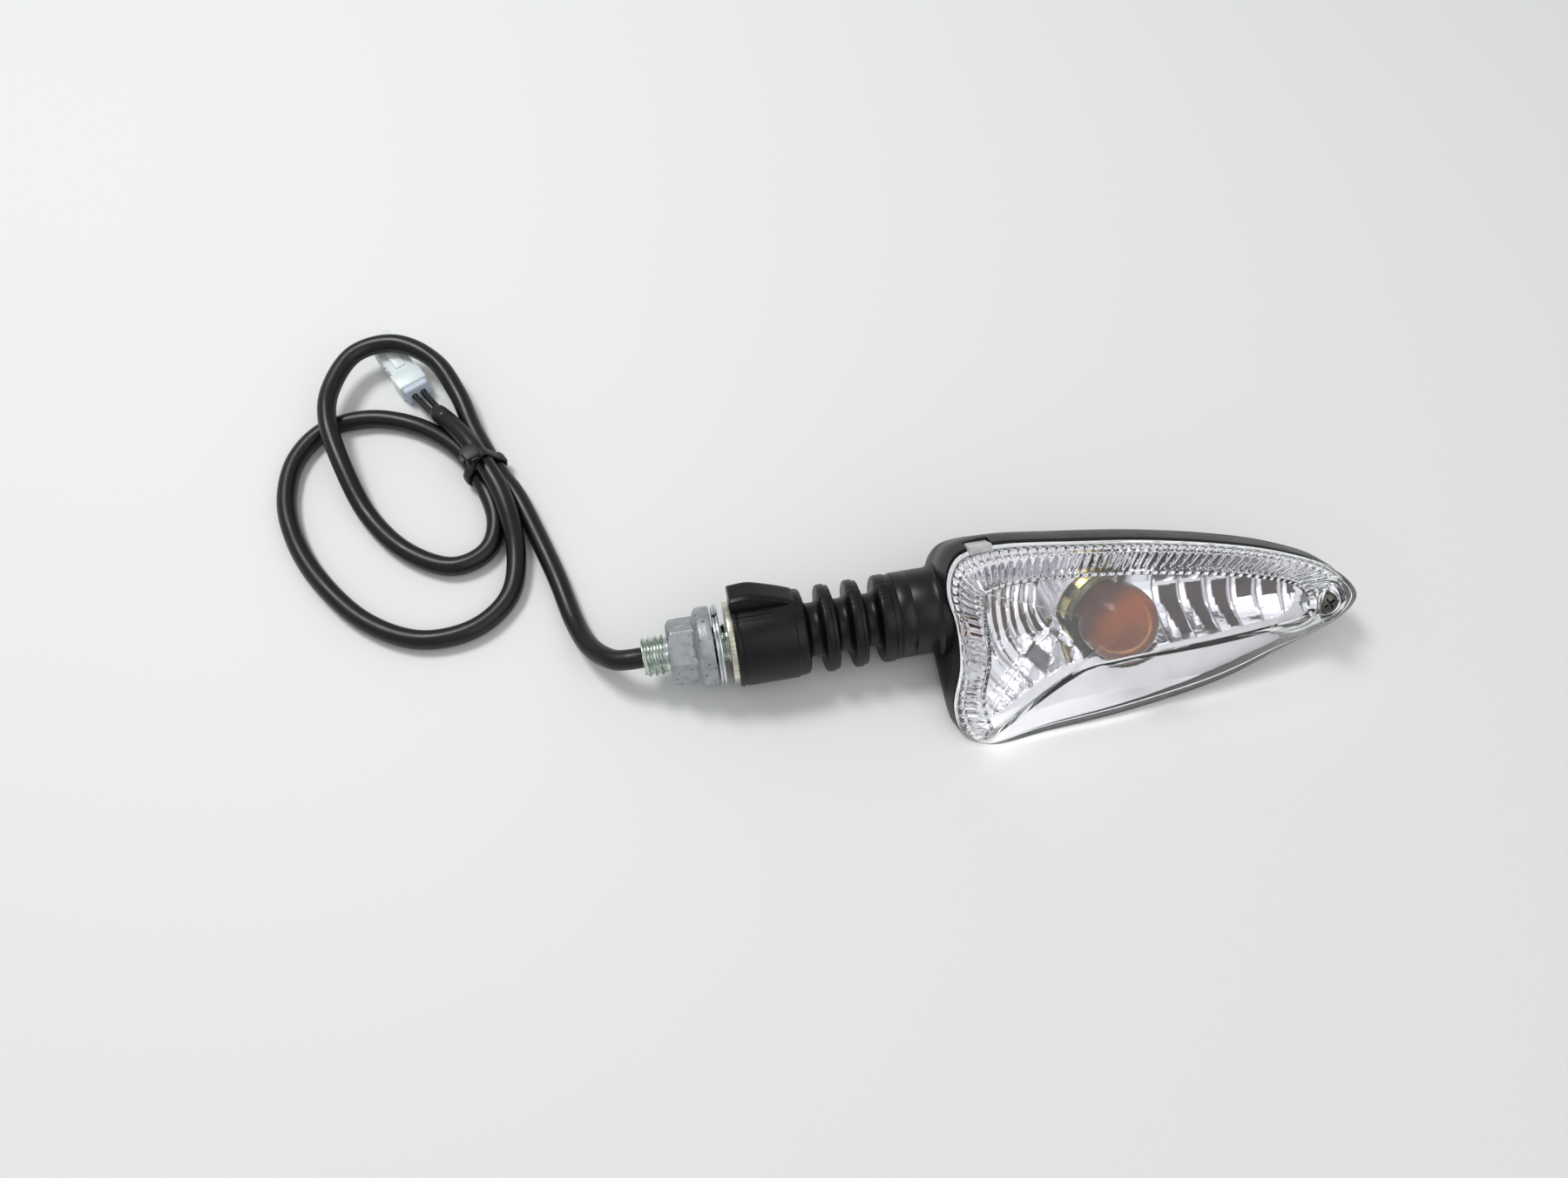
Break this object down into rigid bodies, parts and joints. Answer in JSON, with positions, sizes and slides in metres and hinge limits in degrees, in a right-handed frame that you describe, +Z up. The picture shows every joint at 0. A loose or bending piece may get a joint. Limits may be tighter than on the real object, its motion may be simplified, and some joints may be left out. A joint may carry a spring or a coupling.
{
  "type": "motorcycle turn signal indicator",
  "caption": "Turn signal lamp with a long triangular clear lens over an amber bulb, on a flexible rubber stalk with a hollow threaded stud, flange nut and looped lead.",
  "frame": {"origin": "centre of the mounting face, on the stud axis", "axes": "+X from the mounting face along the stalk towards the lens tip, +Z up off the surface it lies on"},
  "size_m": [0.2615, 0.153, 0.0352],
  "materials": {
    "zinc_steel": "bright zinc plated thread",
    "yellow_zinc": "yellow passivated zinc",
    "rubber": "moulded, satin",
    "spring_steel": "bright",
    "cable_jacket": "semi-gloss PVC",
    "black_plastic": "fine satin",
    "gasket_rubber": "matte",
    "metallised_plastic": "vacuum metallised, mirror bright",
    "clear_plastic": "clear moulded polycarbonate",
    "screw_steel": "zinc plated",
    "amber_glass": "amber coated glass",
    "filament_metal": "wire",
    "bulb_brass": "nickelled brass",
    "solder": "dull solder",
    "socket_brass": "yellow passivated",
    "insulator": "phenolic",
    "wire_orange": "PVC",
    "wire_black": "PVC",
    "bright_zinc": "bright zinc",
    "dull_zinc": "dull cast zinc grey",
    "tie_nylon": "nylon",
    "white_nylon": "milky nylon",
    "blue_seal": "silicone",
    "tinned_brass": "tinned"
  },
  "bodies": {
    "mount_side": {"stud": "zinc_steel", "base_plate": "yellow_zinc", "rubber_base": "rubber", "neck_1": "rubber", "stalk_lead": "cable_jacket", "cable": "cable_jacket", "cable_tie": "tie_nylon", "cable_boot": "cable_jacket", "tail_wires": "wire_black", "connector_housing": "white_nylon", "connector_seal": "blue_seal", "connector_terminals": "tinned_brass"},
    "stalk_inner": {"stalk_disc_1": "rubber", "neck_2": "rubber"},
    "stalk_outer": {"stalk_disc_2": "rubber", "neck_3": "rubber"},
    "head": {"stalk_collar": "rubber", "stem_clip": "spring_steel", "housing": "black_plastic", "lens_gasket": "gasket_rubber", "reflector": "metallised_plastic", "socket_shell": "socket_brass", "socket_base": "insulator", "socket_spring": "spring_steel", "signal_wire": "wire_orange", "ground_wire": "wire_black"},
    "lens_unit": {"lens": "clear_plastic"},
    "screw_travel": {"screw_seal": "gasket_rubber"},
    "screw": {"lens_screw": "screw_steel"},
    "bulb_carrier": {"socket_plunger": "insulator"},
    "bulb": {"bulb_glass": "amber_glass", "bulb_filament": "filament_metal", "bulb_base": "bulb_brass", "bulb_contact": "solder"},
    "nut_travel": {"lock_washer": "bright_zinc"},
    "nut": {"flange_nut": "dull_zinc"}
  },
  "joints": [
    {"name": "stalk_sweep", "type": "hinge", "parent": "mount_side", "child": "stalk_inner", "pos_m": [0.02065, 0, 0], "axis": [0, 0.766, 0.6428], "range_deg": [-12, 12], "stiffness_Nm_per_rad": 4, "deforming": ["neck_1", "stalk_lead"]},
    {"name": "stalk_droop", "type": "hinge", "parent": "stalk_inner", "child": "stalk_outer", "pos_m": [0.02755, 0, 0], "axis": [0, -0.6428, 0.766], "range_deg": [-12, 12], "stiffness_Nm_per_rad": 4, "deforming": ["neck_2", "stalk_lead"]},
    {"name": "stalk_sweep_outer", "type": "hinge", "parent": "stalk_outer", "child": "head", "pos_m": [0.03445, 0, 0], "axis": [0, 0.766, 0.6428], "range_deg": [-12, 12], "stiffness_Nm_per_rad": 4, "deforming": ["neck_3", "stalk_lead"]},
    {"name": "nut_slide", "type": "slide", "parent": "mount_side", "child": "nut_travel", "axis": [-1, 0, 0], "range_m": [0, 0.006]},
    {"name": "nut_spin", "type": "hinge", "parent": "nut_travel", "child": "nut", "pos_m": [-0.008, 0, 0], "axis": [-1, 0, 0], "range_deg": [0, 1441]},
    {"name": "lens_lift", "type": "slide", "parent": "head", "child": "lens_unit", "axis": [0, -0.6428, 0.766], "range_m": [0, 0.028]},
    {"name": "screw_back_out", "type": "slide", "parent": "lens_unit", "child": "screw_travel", "axis": [0, -0.6428, 0.766], "range_m": [0, 0.01]},
    {"name": "screw_turn", "type": "hinge", "parent": "screw_travel", "child": "screw", "pos_m": [0.14183, -0.01784, 0.00579], "axis": [0, -0.6428, 0.766], "range_deg": [0, 2881]},
    {"name": "bulb_push", "type": "slide", "parent": "head", "child": "bulb_carrier", "axis": [-0.4009, 0.8928, -0.2056], "range_m": [0, 0.0015], "stiffness_N_per_m": 2000, "deforming": ["socket_spring"]},
    {"name": "bulb_turn", "type": "hinge", "parent": "bulb_carrier", "child": "bulb", "pos_m": [0.0921, -0.01338, 0.00444], "axis": [0.4009, -0.8928, 0.2056], "range_deg": [0, 20]}
  ],
  "couplings": [
    {"joint": "stalk_sweep_outer", "follows": "stalk_sweep", "ratio": 1},
    {"joint": "nut_spin", "follows": "nut_slide", "rad_per_m": 4188.8},
    {"joint": "screw_turn", "follows": "screw_back_out", "rad_per_m": 5026.5}
  ]
}
